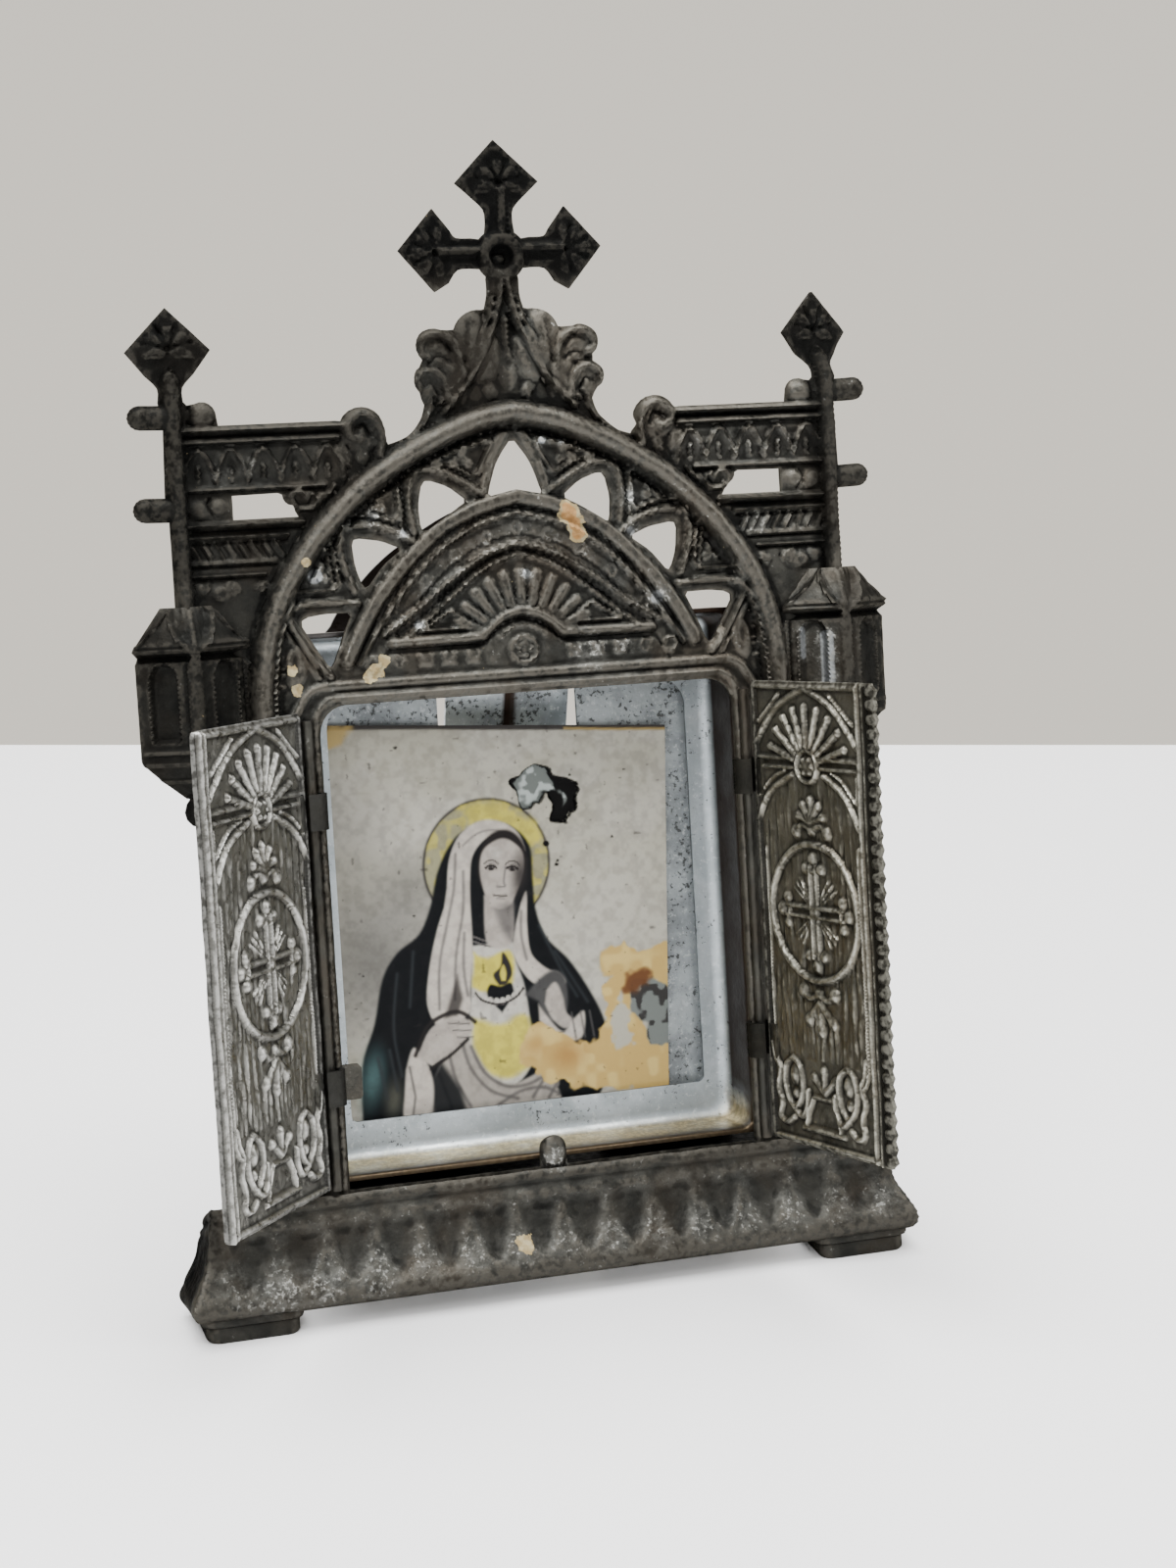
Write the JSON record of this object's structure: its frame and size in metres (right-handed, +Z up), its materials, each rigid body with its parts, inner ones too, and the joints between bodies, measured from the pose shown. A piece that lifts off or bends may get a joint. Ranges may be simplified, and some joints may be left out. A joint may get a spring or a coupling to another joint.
{
  "type": "triptych altarpiece",
  "caption": "Miniature standing triptych shrine of stamped and pierced sheet metal, with a Gothic front, hinged doors, a card in a tray and an easel strut.",
  "frame": {"origin": "on the ground under the middle of the whole part's box, doors open as displayed", "axes": "+Z up, -Y towards the viewer, +X to the viewer's right"},
  "size_m": [0.057, 0.0392, 0.0825],
  "materials": {
    "front_metal": "dark patinated tin, rubbed bright on the high lines",
    "tray_tin": "bright tinplate, spotted and rusty on one wall",
    "card": "matt printed card, torn",
    "plate_tin": "dull tinplate",
    "door_left_metal": "silvery stamped tin with dark hollows",
    "door_right_metal": "browned stamped tin with worn high lines"
  },
  "bodies": {
    "shrine": {"facade": "front_metal", "tray": "tray_tin", "picture": "card", "back_plate": "plate_tin"},
    "door_left": {"door_left": "door_left_metal"},
    "door_right": {"door_right": "door_right_metal"}
  },
  "joints": [
    {"name": "door_left_hinge", "type": "hinge", "parent": "shrine", "child": "door_left", "pos_m": [-0.0166, -0.00077, 0.02621], "axis": [0, -0.1846, -0.9828], "range_deg": [-127.7, 17]},
    {"name": "door_right_hinge", "type": "hinge", "parent": "shrine", "child": "door_right", "pos_m": [0.0166, -0.00077, 0.02621], "axis": [0, 0.1846, 0.9828], "range_deg": [-102.3, 42]}
  ]
}
